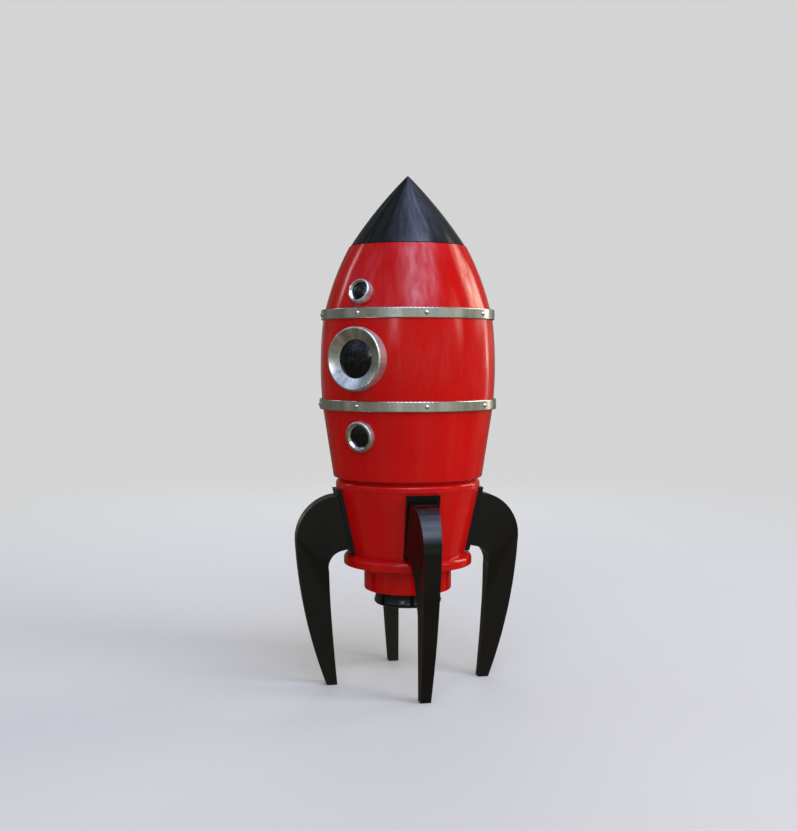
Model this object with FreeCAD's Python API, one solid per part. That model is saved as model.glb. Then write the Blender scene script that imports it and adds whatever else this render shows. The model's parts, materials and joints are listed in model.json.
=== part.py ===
import FreeCAD, Part
import math
import os

# Tin space rocket, in millimetres. +Z is up and z = 0 is the plane of the leg soles.
# The rocket's axis is the Z axis, and its portholes face -Y.
# A profile is a list of (radius, height) points. A step written as a pair of points is
# an arc: its middle point, then its end.

V = FreeCAD.Vector
UP = V(0, 0, 1)
ORIGIN = V(0, 0, 0)

# ---- sheet metal shell ----
HEIGHT = 300.0
SHEET = 0.5
NOSE_SHEET = 0.4
SEAM_GAP = 0.05            # between two pressings that lap
SEAT_GAP = 0.02            # between a trim piece and the curved sheet it lies on
LAP = 4.6                  # how far one pressing runs inside the next
HULL_FOOT = (44.1, 123.35)
LOWER_SEAM = (50.35, 164.3)
BELLY = (51.6, 190.5)
UPPER_SEAM = (50.05, 215.5)
SHOULDER = (43.75, 237.9)
HULL_TOP = (34.6, 258.3)
NECK_R = 30.6              # hull neck that the nose cap is pushed on
NECK_TOP = 262.0
NOSE_BASE = (33.84, 258.8)
NOSE_CHEEK = (17.8, 280.8)

# ---- bands and rivets ----
BAND_HEIGHT = 6.0
UPPER_BAND_Z = 218.45      # middle of the band
UPPER_BAND_R = 51.2
SEAM_DROP = 2.05           # how far the upper seam lies under its band's middle
LOWER_BAND_Z = 166.4
LOWER_BAND_R = 52.35
BAND_EDGE = 0.5
RIVETS = 8
RIVET_HEAD_R = 1.3
RIVET_HEAD_H = 1.0
RIVET_SHANK_R = 0.7

# ---- portholes: height, bezel radius, dish radius, glass radius, how proud, how far it dips ----
PORTHOLES = {
    "upper": (229.9, 6.8, 5.75, 4.85, 4.4, 1.2),
    "large": (192.8, 17.95, 16.75, 10.95, 3.9, 2.4),
    "lower": (149.4, 8.8, 7.0, 6.0, 2.8, 1.1),
}
BEZEL_EDGE = 0.8           # radius of the bezel's outer edge
LENS_SEAT = 0.6            # step that the lens flange rests on
NECK_WALL = 0.6
NUT_RIM = 2.5
NUT_T = 1.5
GLASS_T = 1.4
LENS_SINK = 0.3            # the dome's top stands this far inside the bezel's face
LIP_T = 0.6

# ---- skirt, collar and nozzle ----
BEAD_R = 42.8              # waist ring
BEAD_FOOT = 117.25
SKIRT_TOP = (42.45, 117.2)
SKIRT_FOOT = (34.2, 78.0)
HEM_Z = 71.4
RIM_Z = 71.9               # collar rim, which lies on the skirt's hem
COLLAR_R = 26.0
COLLAR_FLOOR = 56.0
NOZZLE_TOP = 55.7
NOZZLE_R = 19.3
NOZZLE_LIP = 47.2
HEM_RIVET_RING = 36.0
HEM_RIVET_R = 0.6

# ---- legs ----
LEGS = {"rear_right": 45, "rear_left": 135, "front_left": 225, "front_right": 315}
PAD_WIDTH = 19.2
PAD_LOW = (35.6, 78.7)
PAD_HIGH = (44.2, 116.3)
LEG_SCREW_Z = (88.0, 106.0)
LEG_SCREW_R = 1.25

# ---- clockwork ----
RUNNING = 0.05             # radial clearance of a pivot in its hole
PLATE_T = 1.2
LOWER_PLATE_Z = RIM_Z + SHEET
UPPER_PLATE_Z = 92.4
LOWER_PLATE_R = 29.4
UPPER_PLATE_R = 28.0
PILLAR_ANGLES = (0, 120, 235)
PILLAR_RING = 25.0
BASE_SCREW_ANGLES = (60, 180, 300)
BASE_SCREW_RING = 27.7
ARBOR_R = 2.0
ARBOR_FOOT = 53.5
ARBOR_PIVOT_R = 1.5
PIVOT_R = 0.7
PILLAR_PIN_R = 1.2
BASE_SCREW_R = 0.8
BRACKET_SCREW_R = 0.8
BRACKET_SCREW_AT = ((-3.4, 3.0), (3.4, 3.0))
GREAT_TEETH = 50
PINION_TEETH = 10
FIRST_MODULE = 0.6
SECOND_TEETH = 40
SECOND_MODULE = 0.5
PRESSURE_ANGLE = math.radians(25)
ADDENDUM = 0.8
DEDENDUM = 1.05
THINNING = 0.04            # taken off each tooth flank, for backlash
GREAT_Z = 84.0
SECOND_Z = 88.6
SPARK_AXIS = (0.0, -24.0)
SECOND_R = 1.2
SPARK_R = 0.9
SPARK_PIVOT_R = 0.6
WHEEL_HUB_R = 2.6
RATCHET_TEETH = 16
RATCHET_TIP = 6.0
RATCHET_ROOT = 5.0
RATCHET_Z = 85.3
CLICK_AT = 150             # direction of the click's stud from the arbor
CLICK_RING = 11.0
STUD_R = 0.6               # click stud and click spring's post
SPRING_POST = (10.6, 7.4)  # with the stud on +X
FACE_ANGLE = 50.0          # of the ratchet face the click rests on, from the stud
SPRING_Z = 75.0
SPRING_WIDTH = 7.5
SPRING_T = 0.35
FLINT_Z = 192.5
FLINT_BACK = -8.8          # where the spring pushes on it
TUBE_R = 2.2
TUBE_BORE_R = 1.5
WHEEL_R = 9.0
BRACKET_Y = -9.0
BRACKET_TOP = 199.0


# ---------------------------------------------------------------- helpers

def at(point):
    return V(point[0], 0, point[1])


def path_wire(points, closed=False):
    """A wire in the XZ plane from a profile list."""
    edges = []
    here = points[0]
    steps = list(points[1:])
    if closed:
        steps.append(points[0])
    for step in steps:
        if isinstance(step[0], tuple):
            middle, end = step
            edges.append(Part.Arc(at(here), at(middle), at(end)).toShape())
        else:
            end = step
            edges.append(Part.LineSegment(at(here), at(end)).toShape())
        here = end
    return Part.Wire(edges)


def turned(points):
    """A solid of revolution about Z from a closed profile."""
    return Part.Face(path_wire(points, closed=True)).revolve(ORIGIN, UP, 360)


def pressing(points, thickness=SHEET):
    """A spun sheet: the profile is its outer face, and the metal lies on its left."""
    band = path_wire(points).makeOffset2D(thickness, join=2, fill=True, openResult=True)
    return band.Faces[0].revolve(ORIGIN, UP, 360)


def cylinder(radius, low, high, x=0.0, y=0.0):
    return Part.makeCylinder(radius, high - low, V(x, y, low), UP)


def box(low, high):
    size = V(*high) - V(*low)
    return Part.makeBox(size.x, size.y, size.z, V(*low))


def polar(radius, degrees):
    a = math.radians(degrees)
    return radius * math.cos(a), radius * math.sin(a)


def spun(shape, degrees):
    """A copy turned about the rocket's axis."""
    copy = shape.copy()
    copy.rotate(ORIGIN, UP, degrees)
    return copy


def moved(shape, x, y, z):
    copy = shape.copy()
    copy.translate(V(x, y, z))
    return copy


def flat(points, low, high):
    """A plate: a closed outline in the XY plane, from height low to height high."""
    corners = [V(x, y, low) for x, y in points]
    outline = Part.makePolygon(corners + [corners[0]])
    return Part.Face(outline).extrude(V(0, 0, high - low))


def group(shapes):
    return Part.makeCompound(shapes)


def dome_middle(edge_r, base, top):
    """Middle point of the arc from (edge_r, base) to (0, top) on a sphere about the axis."""
    rise = top - base
    radius = (edge_r ** 2 + rise ** 2) / (2 * rise)
    half = math.asin(edge_r / radius) / 2
    return radius * math.sin(half), top - radius + radius * math.cos(half)


def save(name, shape):
    shape.exportStep(f"parts/{name}.step")
    print(name, len(shape.Solids), "solids", round(shape.Volume, 1), "mm3", shape.isValid())


# ---------------------------------------------------------------- hull outline

def radius_on_arc(arc, z):
    """Radius at height z of the circle through the arc's three points."""
    circle = Part.Arc(*[at(p) for p in arc]).toShape().Curve
    drop = z - circle.Center.z
    return circle.Center.x + math.sqrt(circle.Radius ** 2 - drop ** 2)


MIDDLE_ARC = (LOWER_SEAM, BELLY, UPPER_SEAM)
UPPER_ARC = (UPPER_SEAM, SHOULDER, HULL_TOP)


def hull_radius(z):
    """Outer radius of the hull at height z."""
    if z >= UPPER_SEAM[1]:
        return radius_on_arc(UPPER_ARC, z)
    if z >= LOWER_SEAM[1]:
        return radius_on_arc(MIDDLE_ARC, z)
    share = (z - HULL_FOOT[1]) / (LOWER_SEAM[1] - HULL_FOOT[1])
    return HULL_FOOT[0] + share * (LOWER_SEAM[0] - HULL_FOOT[0])


def hull_point(z, inward=0.0):
    return hull_radius(z) - inward, z


def hull_envelope():
    """The hull's outer surface filled in, to trim what lies on it."""
    foot_z = HULL_FOOT[1]
    top_z = HULL_TOP[1]
    outline = [
        (0, foot_z),
        (HULL_FOOT[0] + SEAT_GAP, foot_z),
        (LOWER_SEAM[0] + SEAT_GAP, LOWER_SEAM[1]),
        ((BELLY[0] + SEAT_GAP, BELLY[1]), (UPPER_SEAM[0] + SEAT_GAP, UPPER_SEAM[1])),
        ((SHOULDER[0] + SEAT_GAP, SHOULDER[1]), (HULL_TOP[0] + SEAT_GAP, top_z)),
        (0, top_z),
    ]
    return turned(outline)


def lean_at(z):
    """Angle in degrees by which the hull's outward normal points up at height z."""
    step = 0.5
    slope = (hull_radius(z + step) - hull_radius(z - step)) / (2 * step)
    return -math.degrees(math.atan(slope))


# ---------------------------------------------------------------- shell

def make_nose_cone():
    outline = [
        (NECK_R + 0.1, NECK_TOP),
        (NECK_R + 0.1, NOSE_BASE[1]),
        NOSE_BASE,
        (NOSE_CHEEK, (0.5, HEIGHT)),
        (0.0, HEIGHT),
    ]
    return pressing(outline, NOSE_SHEET)


def make_hull_upper():
    seam = UPPER_BAND_Z - SEAM_DROP
    middle = hull_point((seam + HULL_TOP[1]) / 2)
    step_z = NOSE_BASE[1] - SEAM_GAP
    outline = [
        hull_point(seam),
        (middle, HULL_TOP),
        (NECK_R + 1.0, HULL_TOP[1]),
        (NECK_R + 1.0, step_z),
        (NECK_R, step_z),
        (NECK_R, NECK_TOP),
    ]
    return pressing(outline)


def make_hull_middle():
    seam = UPPER_BAND_Z - SEAM_DROP
    tuck = SHEET + SEAM_GAP
    joggle = hull_point(seam - 0.9)
    outline = [
        LOWER_SEAM,
        (BELLY, joggle),
        hull_point(seam - 0.1, tuck),
        hull_point(seam - 0.1 + LAP, tuck),
    ]
    return pressing(outline)


def make_hull_lower():
    seam = LOWER_SEAM[1]
    tuck = SHEET + SEAM_GAP
    foot_r, foot_z = HULL_FOOT
    outline = [
        (39.7, foot_z),
        (foot_r - 0.7, foot_z),
        ((foot_r - 0.15, foot_z + 0.2), hull_point(foot_z + 0.75)),
        hull_point(seam - 0.8),
        hull_point(seam - 0.05, tuck),
        hull_point(seam + LAP, tuck),
    ]
    return pressing(outline)


def make_band(middle_z, outer_r):
    """A hoop with a straight outer face, whose inner face follows the hull."""
    low = middle_z - BAND_HEIGHT / 2
    high = middle_z + BAND_HEIGHT / 2
    e = BAND_EDGE
    outline = [
        hull_point(low),
        (outer_r - e, low),
        ((outer_r - e * 0.3, low + e * 0.3), (outer_r, low + e)),
        (outer_r, high - e),
        ((outer_r - e * 0.3, high - e * 0.3), (outer_r - e, high)),
        hull_point(high),
    ]
    return turned(outline).cut(hull_envelope())


def radial_pins(radius, inner, outer, z):
    """Cylinders at the rivet places, to drill the rivet holes with."""
    pin = Part.makeCylinder(radius, outer - inner, V(inner, 0, z), V(1, 0, 0))
    return group([spun(pin, k * 360 / RIVETS) for k in range(RIVETS)])


def make_rivet(middle_z, band_r):
    """One rivet along +X, its domed head on the band and its tail inside the hull."""
    tail_r = 1.1
    wall = min(hull_radius(middle_z - tail_r), hull_radius(middle_z + tail_r))
    inside = wall - 2 * SHEET - 2 * SEAM_GAP
    outline = [
        (0, inside - 0.5),
        (tail_r, inside - 0.5),
        (tail_r, inside),
        (RIVET_SHANK_R, inside),
        (RIVET_SHANK_R, band_r),
        (RIVET_HEAD_R, band_r),
        (dome_middle(RIVET_HEAD_R, band_r, band_r + RIVET_HEAD_H), (0, band_r + RIVET_HEAD_H)),
    ]
    rivet = turned(outline)
    rivet.rotate(ORIGIN, V(0, 1, 0), 90)
    return moved(rivet, 0, 0, middle_z)


def make_rivets(middle_z, band_r):
    rivet = make_rivet(middle_z, band_r)
    return group([spun(rivet, k * 360 / RIVETS) for k in range(RIVETS)])


def make_waist_ring():
    foot_z = HULL_FOOT[1]
    outline = [
        (40.2, 112.0),
        (40.2, BEAD_FOOT),
        (BEAD_R - 0.15, BEAD_FOOT),
        (BEAD_R, BEAD_FOOT + 0.15),
        (BEAD_R, 119.8),
        ((BEAD_R - 0.17, 120.45), (BEAD_R - 0.65, 120.95)),
        (41.0, 122.4),
        (40.5, 122.4),
        (40.5, foot_z - 0.02),
        (39.6, foot_z - 0.02),
        (39.6, foot_z + SHEET + 0.02),
        (41.2, foot_z + SHEET + 0.02),
    ]
    return pressing(outline)


# ---------------------------------------------------------------- portholes

def outward(shape, z):
    """Places a shape made about Z, with z = 0 on the hull, as a porthole at height z."""
    placed = shape.copy()
    placed.rotate(ORIGIN, V(1, 0, 0), 90 - lean_at(z))
    placed.translate(V(0, -hull_radius(z), z))
    return placed


def porthole_sizes(name):
    """The radii and depths that the three pieces of a porthole share."""
    z, bezel_r, dish_r, glass_r, proud, dip = PORTHOLES[name]
    seat_r = glass_r + LENS_SEAT
    neck_r = seat_r + NECK_WALL
    nut_r = neck_r + NUT_RIM
    inner_r = hull_radius(z) - SHEET
    bulge = inner_r - math.sqrt(inner_r ** 2 - nut_r ** 2)
    nut_front = -SHEET - bulge - 0.15
    lip = proud - dip - LIP_T
    return z, bezel_r, dish_r, glass_r, proud, dip, seat_r, neck_r, nut_r, nut_front, lip


def make_bezel(name):
    z, bezel_r, dish_r, glass_r, proud, dip, seat_r, neck_r, _, nut_front, lip = porthole_sizes(name)
    bulge = hull_radius(z) - math.sqrt(hull_radius(z) ** 2 - bezel_r ** 2)
    foot = -bulge - 1.5
    edge = BEZEL_EDGE
    face = [
        (glass_r, foot),
        (glass_r, proud - dip),
        (((dish_r + glass_r) / 2, proud - dip * 0.56), (dish_r, proud - 0.08)),
        (dish_r + 0.15, proud),
        (bezel_r - edge, proud),
        ((bezel_r - edge * 0.3, proud - edge * 0.3), (bezel_r, proud - edge)),
        (bezel_r, foot),
    ]
    ring = outward(turned(face), z).cut(hull_envelope())
    back = nut_front - NUT_T - 0.3
    neck = cylinder(neck_r, back, lip + LIP_T / 2)
    bore = cylinder(seat_r, back - 1, lip).fuse(cylinder(glass_r, back - 1, proud))
    return ring.fuse(outward(neck, z)).cut(outward(bore, z)).removeSplitter()


def make_lens(name):
    z, _, _, glass_r, proud, _, seat_r, _, _, _, lip = porthole_sizes(name)
    top = proud - LENS_SINK
    edge_r = glass_r - SEAT_GAP
    inner_r = edge_r - 1.0
    flange = lip - 1.5
    hollow = top - GLASS_T
    outline = [
        (0, hollow),
        (dome_middle(inner_r, flange, hollow), (inner_r, flange)),
        (seat_r, flange),
        (seat_r, lip),
        (edge_r, lip),
        (dome_middle(edge_r, lip, top), (0, top)),
    ]
    return outward(turned(outline), z)


def make_porthole_nut(name):
    z, _, _, _, _, _, _, neck_r, nut_r, nut_front, _ = porthole_sizes(name)
    low = nut_front - NUT_T
    nut = cylinder(nut_r, low, nut_front).cut(cylinder(neck_r, low, nut_front))
    notch = box((-1.0, neck_r + 1.0, low - 1), (1.0, nut_r + 1, nut_front + 1))
    for k in range(4):
        nut = nut.cut(spun(notch, 90 * k))
    return outward(nut, z)


def porthole_hole(name):
    z, _, _, _, _, _, _, neck_r, _, _, _ = porthole_sizes(name)
    return outward(cylinder(neck_r + SEAM_GAP, -12, 12), z)


# ---------------------------------------------------------------- skirt and nozzle

def make_skirt():
    outline = [
        (34.5, HEM_Z),
        (37.5, HEM_Z),
        ((37.92, HEM_Z + 0.18), (38.1, HEM_Z + 0.6)),
        (38.1, 74.3),
        ((37.75, 76.2), (36.3, 77.35)),
        SKIRT_FOOT,
        SKIRT_TOP,
    ]
    return pressing(outline)


def skirt_envelope():
    """The skirt's outer cone filled in and run past both ends, to trim the pads with."""
    slope = (SKIRT_TOP[0] - SKIRT_FOOT[0]) / (SKIRT_TOP[1] - SKIRT_FOOT[1])
    low, high = 60.0, 130.0
    low_r = SKIRT_FOOT[0] + slope * (low - SKIRT_FOOT[1]) + SEAT_GAP
    high_r = SKIRT_FOOT[0] + slope * (high - SKIRT_FOOT[1]) + SEAT_GAP
    return turned([(0, low), (low_r, low), (high_r, high), (0, high)])


def make_exhaust_collar():
    outline = [
        (3.5, COLLAR_FLOOR),
        (COLLAR_R - 1.2, COLLAR_FLOOR),
        ((COLLAR_R - 0.35, COLLAR_FLOOR + 0.35), (COLLAR_R, COLLAR_FLOOR + 1.2)),
        (COLLAR_R, RIM_Z),
        (37.4, RIM_Z),
    ]
    return pressing(outline)


def make_exhaust_nozzle():
    """The bell under the collar, which is also the winding knob."""
    outline = [
        (1.2, 52.6),
        (1.2, ARBOR_FOOT),
        (ARBOR_R, ARBOR_FOOT),
        (ARBOR_R, NOZZLE_TOP),
        (NOZZLE_R - 0.4, NOZZLE_TOP),
        (NOZZLE_R, NOZZLE_TOP - 0.4),
        (NOZZLE_R, 52.4),
        ((NOZZLE_R + 0.25, 50.9), (NOZZLE_R + 0.7, 49.5)),
        ((NOZZLE_R + 0.25, 47.8), (NOZZLE_R - 1.2, NOZZLE_LIP)),
        (17.2, NOZZLE_LIP),
        ((16.2, NOZZLE_LIP + 0.35), (15.7, NOZZLE_LIP + 1.2)),
        (10.0, 52.6),
    ]
    return turned(outline)


def make_nozzle_screw():
    outline = [(0, 51.1), (2.3, 51.1), (2.6, 51.4), (2.6, 52.6), (1.0, 52.6), (1.0, 57.0), (0, 57.0)]
    slot = box((-3, -0.3, 50.9), (3, 0.3, 51.7))
    return turned(outline).cut(slot)


def make_arbor_bush():
    bore = ARBOR_R + RUNNING
    floor = COLLAR_FLOOR + SHEET
    outline = [
        (bore, COLLAR_FLOOR - 0.1),
        (3.5, COLLAR_FLOOR - 0.1),
        (3.5, floor),
        (5.5, floor),
        (5.5, floor + 1.0),
        (3.5, floor + 1.0),
        (3.5, floor + 2.1),
        (bore, floor + 2.1),
    ]
    return turned(outline)


# ---------------------------------------------------------------- legs, made towards +X

def pad_radius(z):
    share = (z - PAD_LOW[1]) / (PAD_HIGH[1] - PAD_LOW[1])
    return PAD_LOW[0] + share * (PAD_HIGH[0] - PAD_LOW[0])


def leg_side():
    """Side view of a leg as a face in the XZ plane."""
    top_z, root_z = 112.8, 81.8
    outline = [
        (pad_radius(top_z), top_z),
        ((60.7, 104.1), (67.3, 86.0)),
        ((61.8, 43.6), (49.3, 0.0)),
        (43.1, 0.0),
        ((46.3, 36.0), (48.3, 68.5)),
        ((46.4, 77.2), (41.3, 80.6)),
        (pad_radius(root_z), root_z),
    ]
    return Part.Face(path_wire(outline, closed=True))


def leg_blank(width=30.0):
    side = leg_side()
    side.translate(V(0, -width / 2, 0))
    return side.extrude(V(0, width, 0))


def width_prism(start_r, widths, run):
    """A prism as wide as stated at each height on the plane x = start_r, swept along run."""
    right = [V(start_r, w, z) for z, w in widths]
    left = [V(start_r, -w, z) for z, w in reversed(widths)]
    outline = Part.makePolygon(right + left + [right[0]])
    return Part.Face(outline).extrude(run)


def leg_front_limit():
    """How wide a leg is at each height, and how it thickens towards the crook inside."""
    limb = width_prism(80.0, [(0.0, 3.1), (38.0, 4.0), (95.0, 5.1), (113.0, 9.2)], V(-60, 0, 0))
    crook = [(80.0, 3.7), (92.0, 4.9), (107.0, 7.0), (118.0, 9.2), (165.0, 10.5)]
    return limb.fuse(width_prism(70.0, crook, V(-50, 0, -80)))


def leg_plan_limit():
    """How wide a leg is at each distance from the axis."""
    widths = [(30.0, 10.2), (43.0, 8.5), (58.0, 6.0), (70.0, 4.9)]
    right = [(r, w) for r, w in widths]
    left = [(r, -w) for r, w in reversed(widths)]
    return flat(right + left, -1.0, 120.0)


def make_leg():
    return leg_blank().common(leg_front_limit()).common(leg_plan_limit()).removeSplitter()


def make_pad():
    half = PAD_WIDTH / 2
    side = [(20.0, PAD_LOW[1]), PAD_LOW, PAD_HIGH, (20.0, PAD_HIGH[1])]
    face = Part.Face(path_wire(side, closed=True))
    face.translate(V(0, -half, 0))
    block = face.extrude(V(0, PAD_WIDTH, 0))
    return block.cut(skirt_envelope())


def skirt_lean():
    slope = (SKIRT_TOP[0] - SKIRT_FOOT[0]) / (SKIRT_TOP[1] - SKIRT_FOOT[1])
    return math.degrees(math.atan(slope))


def across_skirt(shape, z):
    """Places a shape made about Z, with z = 0 on the skirt, square to the skirt towards +X."""
    share = (z - SKIRT_FOOT[1]) / (SKIRT_TOP[1] - SKIRT_FOOT[1])
    radius = SKIRT_FOOT[0] + share * (SKIRT_TOP[0] - SKIRT_FOOT[0])
    placed = shape.copy()
    placed.rotate(ORIGIN, V(0, 1, 0), 90 + skirt_lean())
    placed.translate(V(radius, 0, z))
    return placed


def make_leg_screw(z):
    head_top = -SHEET - 0.12
    head = cylinder(2.2, head_top - 1.3, head_top)
    slot = box((-3, -0.3, head_top - 1.4), (3, 0.3, head_top - 0.8))
    shank = cylinder(LEG_SCREW_R, head_top, 8.0)
    return across_skirt(head.cut(slot).fuse(shank), z)


def leg_screw_holes(radius):
    pins = [across_skirt(cylinder(radius, -4, 8.0), z) for z in LEG_SCREW_Z]
    return group(pins)


def make_leg_screws():
    pair = [make_leg_screw(z) for z in LEG_SCREW_Z]
    return group([spun(screw, angle) for angle in LEGS.values() for screw in pair])


# ---------------------------------------------------------------- gears

def on_circle(radius, angle):
    return V(radius * math.cos(angle), radius * math.sin(angle), 0)


def gear_radii(teeth, module):
    pitch = teeth * module / 2
    return pitch, pitch * math.cos(PRESSURE_ANGLE), pitch + ADDENDUM * module, pitch - DEDENDUM * module


def involute(angle):
    return math.tan(angle) - angle


def gear_outline(teeth, module, first_tooth):
    """A closed wire with involute flanks. first_tooth is the direction of one tooth's middle."""
    pitch, base, tip, root = gear_radii(teeth, module)
    start = max(base, root)
    half_pitch = math.pi / (2 * teeth) - THINNING / pitch

    def half_angle(radius):
        return half_pitch + involute(PRESSURE_ANGLE) - involute(math.acos(min(1.0, base / radius)))

    def flank(middle, side):
        radii = (start, (start + tip) / 2, tip)
        return [on_circle(r, middle + side * half_angle(r)) for r in radii]

    edges = []
    for k in range(teeth):
        middle = first_tooth + 2 * math.pi * k / teeth
        following = middle + 2 * math.pi / teeth
        rise = flank(middle, -1)
        fall = flank(middle, 1)[::-1]
        foot_in = on_circle(root, middle - half_angle(start))
        foot_out = on_circle(root, middle + half_angle(start))
        next_foot = on_circle(root, following - half_angle(start))
        if start > root + 1e-6:
            edges.append(Part.LineSegment(foot_in, rise[0]).toShape())
        edges.append(Part.Arc(*rise).toShape())
        edges.append(Part.Arc(rise[2], on_circle(tip, middle), fall[0]).toShape())
        edges.append(Part.Arc(*fall).toShape())
        if start > root + 1e-6:
            edges.append(Part.LineSegment(fall[2], foot_out).toShape())
        gap = (middle + following) / 2
        edges.append(Part.Arc(foot_out, on_circle(root, gap), next_foot).toShape())
    return Part.Wire(edges)


def gear(teeth, module, first_tooth, low, high):
    face = Part.Face(gear_outline(teeth, module, first_tooth))
    solid = face.extrude(V(0, 0, high - low))
    solid.translate(V(0, 0, low))
    return solid


def second_axis():
    """The second arbor stands at the gears' centre distances from the other two axes."""
    first = (GREAT_TEETH + PINION_TEETH) * FIRST_MODULE / 2
    second = (SECOND_TEETH + PINION_TEETH) * SECOND_MODULE / 2
    reach = math.hypot(*SPARK_AXIS)
    y = -(first ** 2 - second ** 2 + reach ** 2) / (2 * reach)
    return math.sqrt(first ** 2 - y ** 2), y


def bearing(start, end):
    """Direction from one axis to another, in radians."""
    return math.atan2(end[1] - start[1], end[0] - start[0])


# ---------------------------------------------------------------- clockwork

def plate_holes(low, high):
    x, y = second_axis()
    holes = [cylinder(PIVOT_R + RUNNING, low, high, x, y)]
    holes += [cylinder(PILLAR_PIN_R, low, high, *polar(PILLAR_RING, a)) for a in PILLAR_ANGLES]
    return holes


def make_lower_plate():
    low, high = LOWER_PLATE_Z, LOWER_PLATE_Z + PLATE_T
    plate = cylinder(LOWER_PLATE_R, low, high)
    holes = plate_holes(low, high)
    holes.append(cylinder(ARBOR_R + RUNNING, low, high))
    holes.append(cylinder(PIVOT_R + RUNNING, low, high, *SPARK_AXIS))
    screws = [polar(BASE_SCREW_RING, a) for a in BASE_SCREW_ANGLES]
    holes += [cylinder(BASE_SCREW_R, low, high, *place) for place in screws]
    return plate.cut(holes)


def make_upper_plate():
    low, high = UPPER_PLATE_Z, UPPER_PLATE_Z + PLATE_T
    plate = cylinder(UPPER_PLATE_R, low, high)
    holes = plate_holes(low, high)
    holes.append(cylinder(ARBOR_PIVOT_R + RUNNING, low, high))
    holes.append(cylinder(SPARK_R + RUNNING, low, high, *SPARK_AXIS))
    holes += [cylinder(BRACKET_SCREW_R, low, high, *place) for place in BRACKET_SCREW_AT]
    return plate.cut(holes)


def make_pillars():
    low = LOWER_PLATE_Z
    high = UPPER_PLATE_Z + PLATE_T
    outline = [
        (0, low),
        (PILLAR_PIN_R, low),
        (PILLAR_PIN_R, low + PLATE_T),
        (2.0, low + PLATE_T),
        (2.0, UPPER_PLATE_Z),
        (PILLAR_PIN_R, UPPER_PLATE_Z),
        (PILLAR_PIN_R, high),
        (0, high),
    ]
    pillar = turned(outline)
    return group([moved(pillar, *polar(PILLAR_RING, a), 0) for a in PILLAR_ANGLES])


def make_base_screws():
    end = LOWER_PLATE_Z + PLATE_T
    outline = [(0, RIM_Z - 1.0), (1.5, RIM_Z - 1.0), (1.5, RIM_Z), (BASE_SCREW_R, RIM_Z)]
    outline += [(BASE_SCREW_R, end), (0, end)]
    slot = box((-2, -0.25, RIM_Z - 1.1), (2, 0.25, RIM_Z - 0.6))
    screw = turned(outline).cut(slot)
    return group([moved(screw, *polar(BASE_SCREW_RING, a), 0) for a in BASE_SCREW_ANGLES])


def make_hem_rivets():
    top = RIM_Z + SHEET
    outline = [
        (0, HEM_Z - 0.4),
        (0.9, HEM_Z - 0.4),
        (1.1, HEM_Z - 0.2),
        (1.1, HEM_Z),
        (HEM_RIVET_R, HEM_Z),
        (HEM_RIVET_R, top),
        (1.1, top),
        (1.1, top + 0.4),
        (0, top + 0.4),
    ]
    rivet = turned(outline)
    return group([moved(rivet, *polar(HEM_RIVET_RING, 90 * k), 0) for k in range(4)])


def hem_holes():
    return [cylinder(HEM_RIVET_R, HEM_Z - 1, RIM_Z + 1, *polar(HEM_RIVET_RING, 90 * k)) for k in range(4)]


def collar_screw_holes():
    radius = BASE_SCREW_R + RUNNING
    places = [polar(BASE_SCREW_RING, a) for a in BASE_SCREW_ANGLES]
    return [cylinder(radius, RIM_Z - 1, RIM_Z + 1, *place) for place in places]


def make_winding_arbor():
    shoulder = UPPER_PLATE_Z - 0.15
    end = UPPER_PLATE_Z + PLATE_T - 0.1
    outline = [(0, ARBOR_FOOT), (ARBOR_R, ARBOR_FOOT), (ARBOR_R, shoulder)]
    outline += [(ARBOR_PIVOT_R, shoulder), (ARBOR_PIVOT_R, end), (0, end)]
    return turned(outline).cut(cylinder(1.0, ARBOR_FOOT - 0.5, ARBOR_FOOT + 3.5))


def make_great_wheel():
    towards = bearing((0, 0), second_axis())
    wheel = gear(GREAT_TEETH, FIRST_MODULE, towards, GREAT_Z, GREAT_Z + PLATE_T)
    high = GREAT_Z + PLATE_T
    holes = [cylinder(ARBOR_R, GREAT_Z, high)]
    holes.append(cylinder(STUD_R, GREAT_Z, high, *polar(CLICK_RING, CLICK_AT)))
    holes.append(spun(cylinder(STUD_R, GREAT_Z, high, *SPRING_POST), CLICK_AT))
    return wheel.cut(holes)


def make_ratchet_wheel():
    step = 360 / RATCHET_TEETH
    outline = []
    for k in range(RATCHET_TEETH):
        face = CLICK_AT + FACE_ANGLE + k * step
        outline.append(polar(RATCHET_ROOT, face))
        outline.append(polar(RATCHET_TIP, face))
    wheel = flat(outline, RATCHET_Z, RATCHET_Z + PLATE_T)
    return wheel.cut(cylinder(ARBOR_R, RATCHET_Z, RATCHET_Z + PLATE_T))


def make_click():
    """The pawl, made with its stud on +X and then turned to its place."""
    low, high = RATCHET_Z + 0.05, RATCHET_Z + 1.05
    stud = (CLICK_RING, 0)
    arm = [
        polar(RATCHET_ROOT + 0.15, FACE_ANGLE - 1.2),
        polar(RATCHET_TIP + 0.6, FACE_ANGLE - 24.0),
        (CLICK_RING - 1.3, -1.2),
        (CLICK_RING + 0.9, 1.5),
        polar(RATCHET_TIP + 0.5, FACE_ANGLE - 1.0),
    ]
    pawl = flat(arm, low, high).fuse(cylinder(1.8, low, high, *stud))
    pawl = pawl.cut(cylinder(STUD_R + RUNNING, low, high, *stud)).removeSplitter()
    return spun(pawl, CLICK_AT)


def make_click_stud():
    head = RATCHET_Z + 1.15
    stud = cylinder(STUD_R, GREAT_Z, head).fuse(cylinder(1.2, head, head + 0.5))
    return moved(stud, *polar(CLICK_RING, CLICK_AT), 0)


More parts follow.
